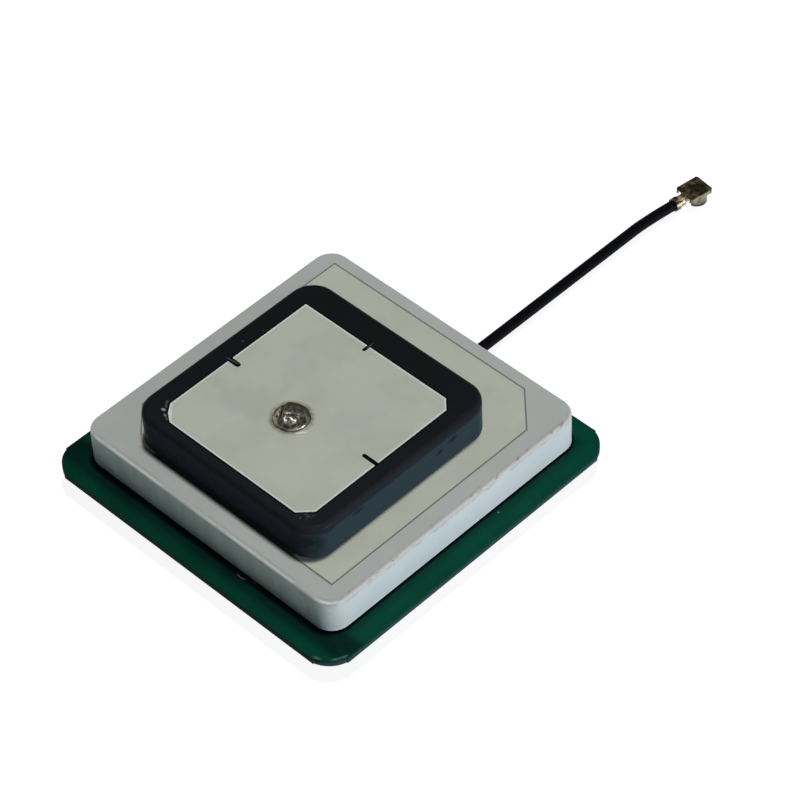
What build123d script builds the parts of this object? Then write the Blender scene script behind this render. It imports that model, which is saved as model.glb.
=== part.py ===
from build123d import *
import os
from math import cos, pi, radians, sin, sqrt, tan

# Dual band ceramic patch antenna for satellite positioning, in millimetres.
# +Z is up and +X is the way the lead leaves. The origin is the middle of the shield can's lid,
# on the surface that the antenna lies on.

# Circuit board: routed corner arcs meet sides that were scored and snapped
board_side = 40.0
board_thick = 0.8
board_corner_radius = 3.2
score_stop = 2.35               # the scored side ends this far short of the corner point
board_hole_clearance = 0.1      # around the pins

# Shield can, folded from one sheet
can_set_back = 1.075            # its walls stand this far inside the sides of the lower block
can_height = 2.0
can_sheet = 0.2
can_bend = 0.4                  # outside radius of the folds
can_relief = 0.7                # square cut at each corner, between two walls
can_solder_length = 2.6
can_solder_leg = 0.4
can_solder_places = (-12.0, -6.0, 6.0, 12.0)

# Adhesive sheets
tape_thick = 0.1
tape_margin = 0.3               # left free inside the edge of the block above
tape_window = 2.0               # square cut out around each pin

# Ceramic blocks, with the place of each block's middle on the board
lower_side = 35.15
lower_thick = 4.0
lower_corner = 2.2
lower_edge = 0.3
lower_place = (0.55, 0.25)
upper_side = 25.3
upper_thick = 4.0
upper_corner = 2.8
upper_edge = 0.55
upper_place = (-1.72, 0.35)
pin_bore_clearance = 0.2
pocket_clearance = 0.3          # around the lower pin's solder, in the underside of the upper block
pocket_headroom = 0.15

# Fired silver faces, with the shift of each patch from its block's middle
silver_thick = 0.03
ground_margin = 0.5
ground_ring_clearance = 0.8     # bare ring around a pin that must not touch the silver
lower_patch_x = 31.3
lower_patch_y = 30.95
lower_patch_shift = (0.415, 0.01)
lower_patch_cut = 4.0
upper_patch_x = 20.5
upper_patch_y = 20.65
upper_patch_shift = (-1.03, -0.225)
right_trim = 1.1
front_trim = 1.4
left_trim = 1.78
left_trim_bulge = 0.2           # silver that the file left in the middle of this trim
front_notch_width = 0.46
rear_notch_width = 0.62
right_notch_width = 0.42
front_notch_depth = 1.9
front_notch_shift = -0.57
rear_notch_depth = 1.38
rear_notch_shift = -0.32
right_notch_depth = 0.84
right_notch_shift = 1.43

# Feed pins and their solder
pin_radius = 0.45
pin_head_radius = 1.1
pin_head_thick = 0.3
pin_tail = 0.6                  # below the board
upper_feed_offset = 1.8         # from the upper patch's middle, towards -X
lower_feed_offset = 4.2         # from the lower patch's middle, towards +X
dome_radius = 1.9
dome_height = 1.0
low_solder_radius = 1.5
low_solder_height = 0.45
joint_radius = 0.95
joint_height = 0.5

# Coaxial lead: layer radii and the height of its axis
jacket_radius = 0.6
braid_radius = 0.45
dielectric_radius = 0.34
wire_radius = 0.12
lead_height = 1.05
mouth_clearance = 0.12
jacket_inside = 1.2             # jacket past the can's inner wall
braid_bare = 1.6
dielectric_bare = 0.8
wire_bare = 1.3
mound_taper = 20.0              # lean of a solder mound's sides, in degrees
mound_cover = 0.2               # solder below the wire
braid_mound_length = 1.5
braid_mound_width = 2.3
wire_mound_side = 1.4

# Push-on plug, with the place of its axis and the turn of its nose
plug_place = (54.87, -0.98)
plug_turn = -8.0
plug_sheet = 0.16
plug_height = 1.85
plate_rear = 1.85               # from the skirt's axis back to the plate's rear edge
plate_width = 2.65
plate_corner = 0.18
plate_drop = 0.6                # depth of the folded rim of the plate
plate_bevel = 0.08
rear_opening = 1.9              # width left open in the rim, above the lead
skirt_bore = 1.04
skirt_slot = 0.9
bead_rise = 0.06
bead_height = 0.35
bead_reach = 0.15               # from the bead's crest up to the plain bore
rim_flare = 0.04
braid_crimp_length = 0.6
jacket_crimp_length = 0.55
crimp_gap = 0.15
crimp_seam = 0.12
spine_width = 0.7
insulator_base = 0.6
insulator_clearance = 0.02
slot_clearance = 0.02           # beside the bared lead, in the insulator and the contact
braid_stop = 1.4                # ends of the layers, behind the plug's axis
dielectric_stop = 0.7
wire_stop = 0.1
contact_radius = 0.38
contact_bore = 0.22
contact_foot = 0.15             # height of the contact's end above the rim
contact_top = 1.3
contact_slit = 0.1
contact_slit_top = 0.5

# Parts under the board: sizes of the packages
chip_length = 1.0
chip_width = 0.5
capacitor_height = 0.5
inductor_height = 0.55
resistor_height = 0.35
end_cap = 0.25
body_inset = 0.03
saw_length = 1.4
saw_width = 1.1
saw_height = 0.55
saw_lid_step = 0.12
amplifier_length = 2.0
amplifier_width = 1.25
amplifier_height = 0.9
regulator_length = 2.9
regulator_width = 1.6
regulator_height = 1.1
regulator_pitch = 0.95
package_bevel = 0.12
package_standoff = 0.05
lead_width = 0.22
lead_thick = 0.12
lead_foot = 0.3
lead_shoulder = 0.15

# Places of the parts under the board, along X; each band has one chain and one bias row
chain_y = 5.5
bias_y = 9.5
chain = (("capacitor", -12.5), ("saw", -10.0), ("inductor", -7.9), ("amplifier", -5.2), ("capacitor", -2.6),
         ("saw", -0.3), ("resistor", 1.9), ("amplifier", 4.4), ("capacitor", 6.9), ("inductor", 8.5))
bias = (("inductor", -5.2), ("resistor", 4.4))
combiner = (("capacitor", 9.4, 1.9), ("capacitor", 9.4, -1.9))
supply = (("capacitor", 12.6, 10.4), ("capacitor", 9.6, 10.4))
regulator_place = (12.6, 6.9)

# Side of the can, which keeps under the lower block
can_side = lower_side - 2 * can_set_back

# Levels, from the surface upwards
board_low = can_height
board_top = board_low + board_thick
lower_base = board_top + tape_thick
lower_low = lower_base + silver_thick
lower_top = lower_low + lower_thick
lower_face = lower_top + silver_thick
upper_base = lower_face + tape_thick
upper_low = upper_base + silver_thick
upper_top = upper_low + upper_thick
upper_face = upper_top + silver_thick

# Middles of the patches and places of the pins
lower_patch_place = (lower_place[0] + lower_patch_shift[0], lower_place[1] + lower_patch_shift[1])
upper_patch_place = (upper_place[0] + upper_patch_shift[0], upper_place[1] + upper_patch_shift[1])
upper_feed = (upper_patch_place[0] - upper_feed_offset, upper_patch_place[1])
lower_feed = (lower_patch_place[0] + lower_feed_offset, lower_patch_place[1])
feeds = (upper_feed, lower_feed)
pin_bore_radius = pin_radius + pin_bore_clearance
ground_ring_radius = pin_radius + ground_ring_clearance
pocket_radius = low_solder_radius + pocket_clearance
pocket_depth = low_solder_height + pocket_headroom - tape_thick - silver_thick

# Cuts reach this far past the face that they go through
past = 0.5


def at(place, z=0.0):
    return Pos(place[0], place[1], z)


def drill(place, radius, low, high):
    """Round cutter on a vertical axis, from low to high."""
    return at(place, low) * extrude(Circle(radius), high - low)


def group(solids):
    return Compound(children=list(solids))


# Circuit board
def circuit_board():
    scored = board_side - 2 * score_stop
    outline = RectangleRounded(board_side, board_side, board_corner_radius)
    outline += Rectangle(board_side, scored) + Rectangle(scored, board_side)
    for feed in feeds:
        outline -= at(feed) * Circle(pin_radius + board_hole_clearance)
    return Pos(0, 0, board_low) * extrude(outline, board_thick)


# Ceramic blocks, silver faces and adhesive sheets
def ceramic_block(side, thick, corner, edge, place, low):
    block = extrude(RectangleRounded(side, side, corner), thick)
    block = fillet(block.edges().group_by(Axis.Z)[-1], edge)
    return at(place, low) * block


def lower_ceramic():
    block = ceramic_block(lower_side, lower_thick, lower_corner, lower_edge, lower_place, lower_low)
    for feed in feeds:
        block -= drill(feed, pin_bore_radius, lower_low - past, lower_top + past)
    return block


def upper_ceramic():
    block = ceramic_block(upper_side, upper_thick, upper_corner, upper_edge, upper_place, upper_low)
    block -= drill(upper_feed, pin_bore_radius, upper_low - past, upper_top + past)
    block -= drill(lower_feed, pocket_radius, upper_low - past, upper_low + pocket_depth)
    return block


def square_sheet(side, corner, place, low, thick, openings):
    """Thin sheet under a block, its corners cut off inside the block's round ones, open for the pins."""
    outline = Rectangle(side, side)
    sheet = at(place) * chamfer(outline.vertices(), corner)
    for opening in openings:
        sheet -= opening
    return Pos(0, 0, low) * extrude(sheet, thick)


def window(feed, side):
    return at(feed) * Rectangle(side, side)


def pocket_outline():
    return at(lower_feed) * Circle(pocket_radius)


def bare_ring(feed):
    return at(feed) * Circle(ground_ring_radius)


def board_tape():
    side = lower_side - 2 * tape_margin
    openings = [window(feed, tape_window) for feed in feeds]
    return square_sheet(side, lower_corner, lower_place, board_top, tape_thick, openings)


def lower_ground_electrode():
    side = lower_side - 2 * ground_margin
    openings = [bare_ring(feed) for feed in feeds]
    return square_sheet(side, lower_corner, lower_place, lower_base, silver_thick, openings)


def patch_tape():
    side = upper_side - 2 * tape_margin
    openings = [window(upper_feed, tape_window), window(lower_feed, 2 * pocket_radius)]
    return square_sheet(side, upper_corner, upper_place, lower_face, tape_thick, openings)


def upper_ground_electrode():
    side = upper_side - 2 * ground_margin
    openings = [bare_ring(upper_feed), pocket_outline()]
    return square_sheet(side, upper_corner, upper_place, upper_base, silver_thick, openings)


def lower_patch_electrode():
    half_x, half_y, cut = lower_patch_x / 2, lower_patch_y / 2, lower_patch_cut
    outline = Polygon((-half_x, -half_y), (half_x - cut, -half_y), (half_x, cut - half_y), (half_x, half_y),
                      (cut - half_x, half_y), (-half_x, half_y - cut), align=None)
    face = at(lower_patch_place) * outline
    face -= at(lower_feed) * Circle(pin_bore_radius)
    face -= bare_ring(upper_feed)
    return Pos(0, 0, lower_top) * extrude(face, silver_thick)


def tuning_notches():
    """Ground slots that run in from three edges and end round, about the upper patch's middle."""
    half_x, half_y = upper_patch_x / 2, upper_patch_y / 2
    front = SlotOverall(2 * front_notch_depth, front_notch_width, rotation=90)
    rear = SlotOverall(2 * rear_notch_depth, rear_notch_width, rotation=90)
    right = SlotOverall(2 * right_notch_depth, right_notch_width)
    slots = Pos(front_notch_shift, -half_y) * front + Pos(rear_notch_shift, half_y) * rear
    return slots + Pos(half_x, right_notch_shift) * right


def upper_patch_electrode():
    half_x, half_y = upper_patch_x / 2, upper_patch_y / 2
    bulge = left_trim / 2 - left_trim_bulge * sqrt(0.5)
    outline = Polygon((front_trim - half_x, -half_y), (half_x - right_trim, -half_y),
                      (half_x, right_trim - half_y), (half_x, half_y), (left_trim - half_x, half_y),
                      (bulge - half_x, half_y - bulge), (-half_x, half_y - left_trim),
                      (-half_x, front_trim - half_y), align=None)
    face = at(upper_patch_place) * (outline - tuning_notches())
    face -= at(upper_feed) * Circle(pin_bore_radius)
    return Pos(0, 0, upper_top) * extrude(face, silver_thick)


# Feed pins and their solder
def headed_pin(feed, seat):
    """Pin whose flat head lies on the silver at the height seat, with its tail below the board."""
    return drill(feed, pin_radius, board_low - pin_tail, seat) + pin_head(feed, seat)


def pin_head(feed, seat):
    return drill(feed, pin_head_radius, seat, seat + pin_head_thick)


def upper_feed_solder():
    """Cap of a ball over the upper pin's head."""
    ball_radius = (dome_radius ** 2 + dome_height ** 2) / (2 * dome_height)
    rim, top = (dome_radius, 0), (0, dome_height)
    half = make_face([*Polyline(rim, (0, 0), top).edges(), RadiusArc(top, rim, ball_radius)])
    dome = at(upper_feed, upper_face) * revolve(Plane.XZ * half, Axis.Z)
    return dome - pin_head(upper_feed, upper_face)


def lower_feed_solder():
    """Low collar over the lower pin's head, flat on top."""
    collar = Polygon((pin_head_radius, 0), (low_solder_radius, 0), (pin_head_radius, low_solder_height),
                     (0, low_solder_height), (0, pin_head_thick), (pin_head_radius, pin_head_thick),
                     align=None)
    return at(lower_feed, lower_face) * revolve(Plane.XZ * collar, Axis.Z)


def pin_joint(feed):
    """Cone of solder around a pin's tail, on the underside of the board."""
    tip = board_low - joint_height
    cone = Polygon((pin_radius, board_low), (pin_radius, tip), (joint_radius, board_low), align=None)
    return at(feed) * revolve(Plane.XZ * cone, Axis.Z)


# Shield can
def shield_can():
    half = can_side / 2
    can = Pos(0, 0, can_height / 2) * Box(can_side, can_side, can_height)
    can = fillet(can.edges().group_by(Axis.Z)[0], can_bend)
    inner_side = can_side - 2 * can_sheet
    room_low = can_sheet
    room = Pos(0, 0, room_low + can_height / 2) * Box(inner_side, inner_side, can_height)
    can -= fillet(room.edges().group_by(Axis.Z)[0], can_bend - can_sheet)
    for sx in (-1, 1):
        for sy in (-1, 1):
            corner = Pos(sx * half, sy * half, can_height / 2)
            can -= corner * Box(2 * can_relief, 2 * can_relief, can_height + 2 * past)
    mouth_radius = jacket_radius + mouth_clearance
    mouth = Pos(half, 0, lead_height) * Rot(0, 90, 0) * Cylinder(mouth_radius, 2 * can_relief)
    mouth_rise = can_height + past - lead_height
    mouth += Pos(half, 0, lead_height + mouth_rise / 2) * Box(2 * can_relief, 2 * mouth_radius, mouth_rise)
    return can - mouth


def shield_solder():
    """Short fillets outside the walls, where the can's rim meets the board."""
    half = can_side / 2
    leg = can_solder_leg
    section = Polygon((0, 0), (leg, 0), (0, -leg), align=None)
    fillet_bar = extrude(Plane.XZ * section, can_solder_length / 2, both=True)
    fillets = []
    for turn in (0, 90, 180, 270):
        for place in can_solder_places:
            fillets.append(Rot(0, 0, turn) * Pos(half, place, board_low) * fillet_bar)
    return group(fillets)


# Parts under the board
def under(x, y, turn=0.0):
    """Place on the underside of the board, where a part's local +Z points down."""
    return Pos(x, y, board_low) * Rot(180, 0, turn)


def chip_body(height):
    length = chip_length - 2 * end_cap
    tall = height - 2 * body_inset
    return Pos(0, 0, height / 2) * Box(length, chip_width - 2 * body_inset, tall)


def chip_ends(height):
    shift = (chip_length - end_cap) / 2
    return [Pos(side * shift, 0, height / 2) * Box(end_cap, chip_width, height) for side in (-1, 1)]


def saw_filter():
    base_height = saw_height - saw_lid_step
    base = Pos(0, 0, base_height / 2) * Box(saw_length, saw_width, base_height)
    lid_shift = base_height + saw_lid_step / 2
    lid = Pos(0, 0, lid_shift) * Box(saw_length - saw_lid_step, saw_width - saw_lid_step, saw_lid_step)
    return base + lid


def package(length, width, height, standoff=0):
    """Moulded body with a bevelled top, standing off the board on its leads if it has any."""
    tall = height - standoff
    body = Pos(0, 0, standoff + tall / 2) * Box(length, width, tall)
    return chamfer(body.edges().group_by(Axis.Z)[-1], package_bevel)


def package_leads(width, height, left_places, right_places):
    """Bent leads that leave both long sides half way up and stand on the board."""
    rise = height / 2
    wall = width / 2
    knee = wall + lead_shoulder
    toe = knee + lead_foot
    t = lead_thick
    profile = Polygon((wall, rise), (wall, rise - t), (knee - t, rise - t), (knee - t, 0), (toe, 0), (toe, t),
                      (knee, t), (knee, rise), align=None)
    lead = extrude(Plane.YZ * profile, lead_width / 2, both=True)
    leads = [Pos(place, 0, 0) * lead for place in left_places]
    leads += [Pos(place, 0, 0) * Rot(0, 0, 180) * lead for place in right_places]
    return leads


chip_heights = {"capacitor": capacitor_height, "inductor": inductor_height, "resistor": resistor_height}


def part_places():
    """Every small part as (kind, x, y)."""
    places = []
    for side in (-1, 1):
        places += [(kind, x, side * chain_y) for kind, x in chain]
        places += [(kind, x, side * bias_y) for kind, x in bias]
    return places + list(combiner) + list(supply)


def small_chips(kind):
    return group([under(x, y) * chip_body(chip_heights[kind]) for k, x, y in part_places() if k == kind])


def chip_end_caps():
    caps = []
    for kind, x, y in part_places():
        if kind in chip_heights:
            caps += [under(x, y) * cap for cap in chip_ends(chip_heights[kind])]
    return group(caps)


def saw_filters():
    return group([under(x, y) * saw_filter() for kind, x, y in part_places() if kind == "saw"])


def amplifier_chips():
    body = package(amplifier_length, amplifier_width, amplifier_height)
    return group([under(x, y) * body for kind, x, y in part_places() if kind == "amplifier"])


def regulator_chip():
    x, y = regulator_place
    return under(x, y) * package(regulator_length, regulator_width, regulator_height, package_standoff)


def chip_leads():
    """Leads of the regulator: three on one side, two on the other."""
    x, y = regulator_place
    outer = (-regulator_pitch, regulator_pitch)
    leads = package_leads(regulator_width, regulator_height, (*outer, 0), outer)
    return group([under(x, y) * lead for lead in leads])


# Lead: a plain jacket, and each inner layer where it is bare, in the can and in the plug
jacket_start = can_side / 2 - can_sheet - jacket_inside
braid_start = jacket_start - braid_bare
dielectric_start = braid_start - dielectric_bare
wire_start = dielectric_start - wire_bare
jacket_crimp_front = plate_rear + 2 * crimp_gap + braid_crimp_length
jacket_stop = jacket_crimp_front
arc_share = 0.45


def on_plug(piece):
    """Moves a piece from the plug's own place at the origin to the end of the lead."""
    return Pos(plug_place[0], plug_place[1], 0) * Rot(0, 0, plug_turn) * piece


def plug_point(x):
    """Point on the plug's axis, x in front of its middle, at the lead's height."""
    turn = radians(plug_turn)
    return (plug_place[0] + x * cos(turn), plug_place[1] + x * sin(turn), lead_height)


def cable_jacket():
    """The lead runs straight out along +X and bends once, where that line meets the plug's axis."""
    bend_x = plug_place[0] - plug_place[1] / tan(radians(plug_turn))
    start, bend, end = (jacket_start, 0, lead_height), (bend_x, 0, lead_height), plug_point(-jacket_stop)
    shorter_run = min((Vector(*bend) - Vector(*start)).length, (Vector(*end) - Vector(*bend)).length)
    bend_radius = arc_share * shorter_run / tan(radians(abs(plug_turn) / 2))
    path = FilletPolyline(start, bend, end, radius=bend_radius)
    jacket = sweep(Plane(origin=path @ 0, z_dir=path % 0) * Circle(jacket_radius), path=path)
    section = pi * jacket_radius ** 2
    print("bend radius", round(bend_radius, 2), "lead length", round(path.length, 2),
          "volume over section times length", round(jacket.volume / (section * path.length), 4))
    return jacket


def rod(radius, low, high):
    """Round bar along X at the lead's height."""
    return Pos(low, 0, lead_height) * Rot(0, 90, 0) * extrude(Circle(radius), high - low)


def cable_braid():
    at_can = rod(braid_radius, braid_start, jacket_start)
    at_plug = rod(braid_radius, -jacket_stop, -braid_stop)
    return group([at_can, on_plug(at_plug)])


def cable_dielectric():
    return group([rod(dielectric_radius, dielectric_start, braid_start),
                  on_plug(rod(dielectric_radius, -braid_stop, -dielectric_stop))])


def cable_wire():
    return group([rod(wire_radius, wire_start, dielectric_start),
                  on_plug(rod(wire_radius, -dielectric_stop, -wire_stop))])


def solder_mound(length, width, depth, x):
    """Solder with leaning sides, from the board down to a bared layer of the lead."""
    return under(x, 0) * extrude(Rectangle(length, width), depth, taper=mound_taper)


def cable_solder_joints():
    axis_depth = board_low - lead_height
    braid_middle = (braid_start + jacket_start) / 2
    braid_mound = solder_mound(braid_mound_length, braid_mound_width, axis_depth, braid_middle)
    braid_mound -= rod(braid_radius, braid_start, jacket_start)
    wire_middle = wire_start + wire_mound_side / 2
    wire_mound = solder_mound(wire_mound_side, wire_mound_side, axis_depth + mound_cover, wire_middle)
    wire_mound -= rod(wire_radius, wire_start, dielectric_start)
    return group([*braid_mound.solids(), *wire_mound.solids()])


# Push-on plug, modelled about its own axis with its nose along +X and its rim at the bottom
braid_crimp_front = plate_rear + crimp_gap
braid_crimp_rear = braid_crimp_front + braid_crimp_length
jacket_crimp_rear = jacket_crimp_front + jacket_crimp_length
plate_low = plug_height - plug_sheet
skirt_outer = skirt_bore + plug_sheet
plate_length = plate_rear + skirt_outer
plate_middle = plate_length / 2 - plate_rear


def crimp(radius, front, rear):
    """Barrel of one crimp, closed but for its seam at the bottom, between two places behind the axis."""
    length = rear - front
    ring = extrude(Circle(radius + plug_sheet) - Circle(radius), length)
    barrel = Pos(-rear, 0, lead_height) * Rot(0, 90, 0) * ring
    seam = Pos(-(front + rear) / 2, 0, lead_height - radius) * Box(length, crimp_seam, 2 * radius)
    return barrel - seam


def crimp_spine():
    """Strip that steps down from the plate over the braid crimp and up again to the jacket crimp."""
    braid_top = lead_height + braid_radius + plug_sheet
    jacket_top = lead_height + jacket_radius + plug_sheet
    top = [(plug_sheet - plate_rear, plug_height), (-plate_rear, plug_height),
           (-braid_crimp_front, braid_top), (-braid_crimp_rear, braid_top),
           (-jacket_crimp_front, jacket_top), (-jacket_crimp_rear, jacket_top)]
    low = [(x, z - plug_sheet) for x, z in reversed(top)]
    return extrude(Plane.XZ * Polygon(*top, *low, align=None), spine_width / 2, both=True)


def plug_skirt():
    """Split collar that snaps over the mating ring; its rim leads in to a bead."""
    profile = Polygon((skirt_bore + rim_flare, 0), (skirt_outer, 0), (skirt_outer, plate_low),
                      (skirt_bore, plate_low), (skirt_bore, bead_height + bead_reach),
                      (skirt_bore - bead_rise, bead_height), align=None)
    collar = revolve(Plane.XZ * profile, Axis.Z)
    slot_height = plate_low
    return collar - Pos(-skirt_outer, 0, slot_height / 2) * Box(skirt_outer, skirt_slot, slot_height)


def plug_shell():
    plate = Rectangle(plate_length, plate_width)
    outline = chamfer(plate.vertices(), plate_corner)
    cap = extrude(outline, plate_drop)
    cap = chamfer(cap.edges().group_by(Axis.Z)[-1], plate_bevel)
    room = Rectangle(plate_length - 2 * plug_sheet, plate_width - 2 * plug_sheet)
    room_depth = plate_drop - plug_sheet
    cap -= extrude(room, room_depth)
    gap = Box(2 * plug_sheet, rear_opening, room_depth)
    cap -= Pos(-plate_length / 2, 0, room_depth / 2) * gap
    cap = Pos(plate_middle, 0, plug_height - plate_drop) * cap
    shell = cap + plug_skirt() + crimp_spine()
    shell += crimp(braid_radius, braid_crimp_front, braid_crimp_rear)
    shell += crimp(jacket_radius, jacket_crimp_front, jacket_crimp_rear)
    return on_plug(shell)


def lead_slot(radius, low, high, rise):
    """Square slot along the plug for one layer of the lead, from its lowest clear point up by rise."""
    width = 2 * (radius + slot_clearance)
    floor = lead_height - width / 2
    return Pos((low + high) / 2, 0, floor + rise / 2) * Box(high - low, width, rise)


def plug_insulator():
    """Disc that fills the skirt's top, bored for the contact and slotted from behind for the bared lead."""
    radius = skirt_bore - insulator_clearance
    disc = drill((0, 0), radius, insulator_base, plate_low)
    disc -= drill((0, 0), contact_radius, insulator_base, contact_top)
    wide, narrow = 2 * (dielectric_radius + slot_clearance), 2 * (wire_radius + slot_clearance)
    disc -= lead_slot(dielectric_radius, -radius - past, -dielectric_stop, wide)
    disc -= lead_slot(wire_radius, -dielectric_stop, 0, narrow)
    return on_plug(disc)


def plug_contact():
    """Split socket that grips the mating pin; the lead's wire lies in a slot across its solid top."""
    contact = drill((0, 0), contact_radius, contact_foot, contact_top)
    contact -= drill((0, 0), contact_bore, contact_foot, insulator_base)
    slit_height = contact_slit_top - contact_foot
    contact -= Pos(0, 0, contact_foot + slit_height / 2) * Box(contact_slit, 2 * contact_radius, slit_height)
    contact -= lead_slot(wire_radius, -contact_radius - past, -wire_stop, contact_top - lead_height + past)
    return on_plug(contact)


nodes = {
    "circuit_board": circuit_board(),
    "board_tape": board_tape(),
    "lower_ground_electrode": lower_ground_electrode(),
    "lower_ceramic": lower_ceramic(),
    "lower_patch_electrode": lower_patch_electrode(),
    "lower_feed_pin": headed_pin(lower_feed, lower_face),
    "lower_feed_solder": lower_feed_solder(),
    "patch_tape": patch_tape(),
    "upper_ground_electrode": upper_ground_electrode(),
    "upper_ceramic": upper_ceramic(),
    "upper_patch_electrode": upper_patch_electrode(),
    "upper_feed_pin": headed_pin(upper_feed, upper_face),
    "upper_feed_solder": upper_feed_solder(),
    "pin_solder_joints": group([pin_joint(feed) for feed in feeds]),
    "shield_can": shield_can(),
    "shield_solder": shield_solder(),
    "amplifier_chips": amplifier_chips(),
    "saw_filters": saw_filters(),
    "regulator_chip": regulator_chip(),
    "chip_leads": chip_leads(),
    "chip_capacitors": small_chips("capacitor"),
    "chip_inductors": small_chips("inductor"),
    "chip_resistors": small_chips("resistor"),
    "chip_end_caps": chip_end_caps(),
    "cable_jacket": cable_jacket(),
    "cable_braid": cable_braid(),
    "cable_dielectric": cable_dielectric(),
    "cable_wire": cable_wire(),
    "cable_solder_joints": cable_solder_joints(),
    "plug_shell": plug_shell(),
    "plug_insulator": plug_insulator(),
    "plug_contact": plug_contact(),
}

os.makedirs("parts", exist_ok=True)
for name, node in nodes.items():
    export_step(node, f"parts/{name}.step")
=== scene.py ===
from math import cos, exp, hypot, pi, radians, sin, sqrt

import bmesh
import bpy
from mathutils import Euler, Matrix, Vector, noise


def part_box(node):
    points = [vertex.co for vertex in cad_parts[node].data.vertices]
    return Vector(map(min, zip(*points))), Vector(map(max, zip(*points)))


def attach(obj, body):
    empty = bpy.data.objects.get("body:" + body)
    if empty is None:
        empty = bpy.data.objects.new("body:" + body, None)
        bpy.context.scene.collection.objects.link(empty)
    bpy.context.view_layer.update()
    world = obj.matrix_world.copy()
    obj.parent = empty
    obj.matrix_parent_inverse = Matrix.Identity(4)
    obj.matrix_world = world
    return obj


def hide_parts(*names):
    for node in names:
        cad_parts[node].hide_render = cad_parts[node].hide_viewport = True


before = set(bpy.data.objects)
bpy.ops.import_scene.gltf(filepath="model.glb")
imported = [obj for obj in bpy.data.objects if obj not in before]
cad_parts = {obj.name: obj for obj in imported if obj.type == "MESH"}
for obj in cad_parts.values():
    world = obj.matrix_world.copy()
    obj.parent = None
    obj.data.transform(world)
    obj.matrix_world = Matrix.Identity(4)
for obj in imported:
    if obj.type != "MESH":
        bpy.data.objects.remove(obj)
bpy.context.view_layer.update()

# Patterns, places and sizes below are in millimetres of the part's own frame, and the scene is in metres.
MM = 0.001

# Camera, at the photograph's viewing angle
CAMERA_PLACE = (-150.9, -168.4, 246.3)
CAMERA_AZIMUTH = 46.311
CAMERA_ELEVATION = 46.305
CAMERA_ROLL = -2.869
CAMERA_LENS = 149.386           # focal length on a sensor of this width, both in real millimetres
CAMERA_SENSOR = 36.0
CAMERA_RANGE = (0.01, 20)       # nearest and farthest thing seen, in metres

# Lead: the route that its solid follows, with one more point before the bend
LEAD_DIAMETER = 1.2
LEAD_HEIGHT = 1.05
LEAD_START = (15.1, 0.0)
LEAD_EASE = (43.605, 0.0)
LEAD_BEND = (47.897, 0.0)
LEAD_END = (52.147, -0.597)

# Round corners of the white block and the board, and the silver's cut corners, as the solids have them
LOWER_CORNER = 2.2
BOARD_CORNER = 3.2
LOWER_CUTS = {(1, -1): 4.0, (-1, 1): 4.0}
UPPER_CUTS = {(1, -1): 1.1, (-1, -1): 1.4, (-1, 1): 1.78}

# Solder on the upper pin: a flattened dome, set off from the pin's axis, whose crease parts a low shoulder
DROP_SHIFT = (0.01, 0.12)
DROP_RADIUS = 1.915
DROP_HEIGHT = 0.93
DROP_TILT = 0.055               # rise in a millimetre towards -X and +Y
DROP_FLANK = 0.5                # least height at the middle, which falls to the outline as a square root
DROP_WAVE = (0.05, 2.1, 0.7)    # how far the outline wavers, and the circle and level of its noise
DROP_LUMPS = ((0.05, 1.9, 0.3), (0.02, 5, 2.3))     # height, count in a millimetre and level of the noise
CREASE_ANGLE = 33.0             # of the crease's line, from +X
CREASE_PLACE = 1.05             # from the pin's axis to the crease
CREASE_END = -0.8               # along the crease's line, where it runs out
CREASE_EASE = 0.3               # length over which it runs out
CREASE_DEPTH = 0.30
CREASE_WIDTH = 0.14
SHOULDER_DROP = 0.22

# Lights: direction from the origin in degrees, and size and distance in metres
LIGHT_DISTANCE = 1.5
FRONT_LIGHT = {"azimuth": -80.0, "elevation": 3.4, "size": (0.53, 0.16), "level": 0.82,
               "colour": (0.88, 0.98, 1.09)}
TOP_LIGHT = {"azimuth": 10.6, "elevation": 80.8, "size": (0.18, 0.18), "level": 0.515,
             "colour": (1.01, 1.0, 0.97)}
AMBIENT_COLOUR = (0.9, 1.0, 1.02)
AMBIENT_LEVEL = 0.05
CEILING_FALL = (0.02, 0.45, 0.9, 0.12)      # two rises of a ray, and the light that it meets at each
FLOOR_REACH = 3.0                           # from the middle to the floor's edges, in metres
FLOOR_COLOUR = (0.76, 0.82, 0.81)           # as it lights the part
SEEN_FLOOR_COLOUR = (0.36, 0.36, 0.36)      # as the camera, mirrors and glass see it, with a glow
FLOOR_GLOW = (0.9, 0.9, 0.9)


class Place:
    """Box of a CAD node, in millimetres."""

    def __init__(self, node):
        low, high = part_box(node)
        self.low = low / MM
        self.high = high / MM
        self.middle = (self.low + self.high) / 2
        self.half = (self.high - self.low) / 2

    def spot(self, side_x, side_y, z):
        """Point at height z; side -1, 0 or 1 is the box's low side, its middle or its high side."""
        return Vector((self.middle.x + side_x * self.half.x, self.middle.y + side_y * self.half.y, z))


board = Place("circuit_board")
white_block = Place("lower_ceramic")
dark_block = Place("upper_ceramic")
lower_silver = Place("lower_patch_electrode")
upper_silver = Place("upper_patch_electrode")
plug = Place("plug_shell")
feed = Place("upper_feed_pin").spot(0, 0, upper_silver.high.z)
drop_middle = feed + Vector((*DROP_SHIFT, 0))


def metres(*values):
    return [value * MM for value in values]


# Camera and lead
def make_camera():
    data = bpy.data.cameras.new("camera")
    data.sensor_width = CAMERA_SENSOR
    data.lens = CAMERA_LENS
    data.clip_start, data.clip_end = CAMERA_RANGE
    camera = bpy.data.objects.new("camera", data)
    bpy.context.scene.collection.objects.link(camera)
    level = Euler((pi / 2 - radians(CAMERA_ELEVATION), 0, radians(CAMERA_AZIMUTH) - pi / 2)).to_matrix()
    turn = level @ Matrix.Rotation(radians(CAMERA_ROLL), 3, "Z")
    camera.matrix_world = Matrix.Translation(metres(*CAMERA_PLACE)) @ turn.to_4x4()
    bpy.context.scene.camera = camera


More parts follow.
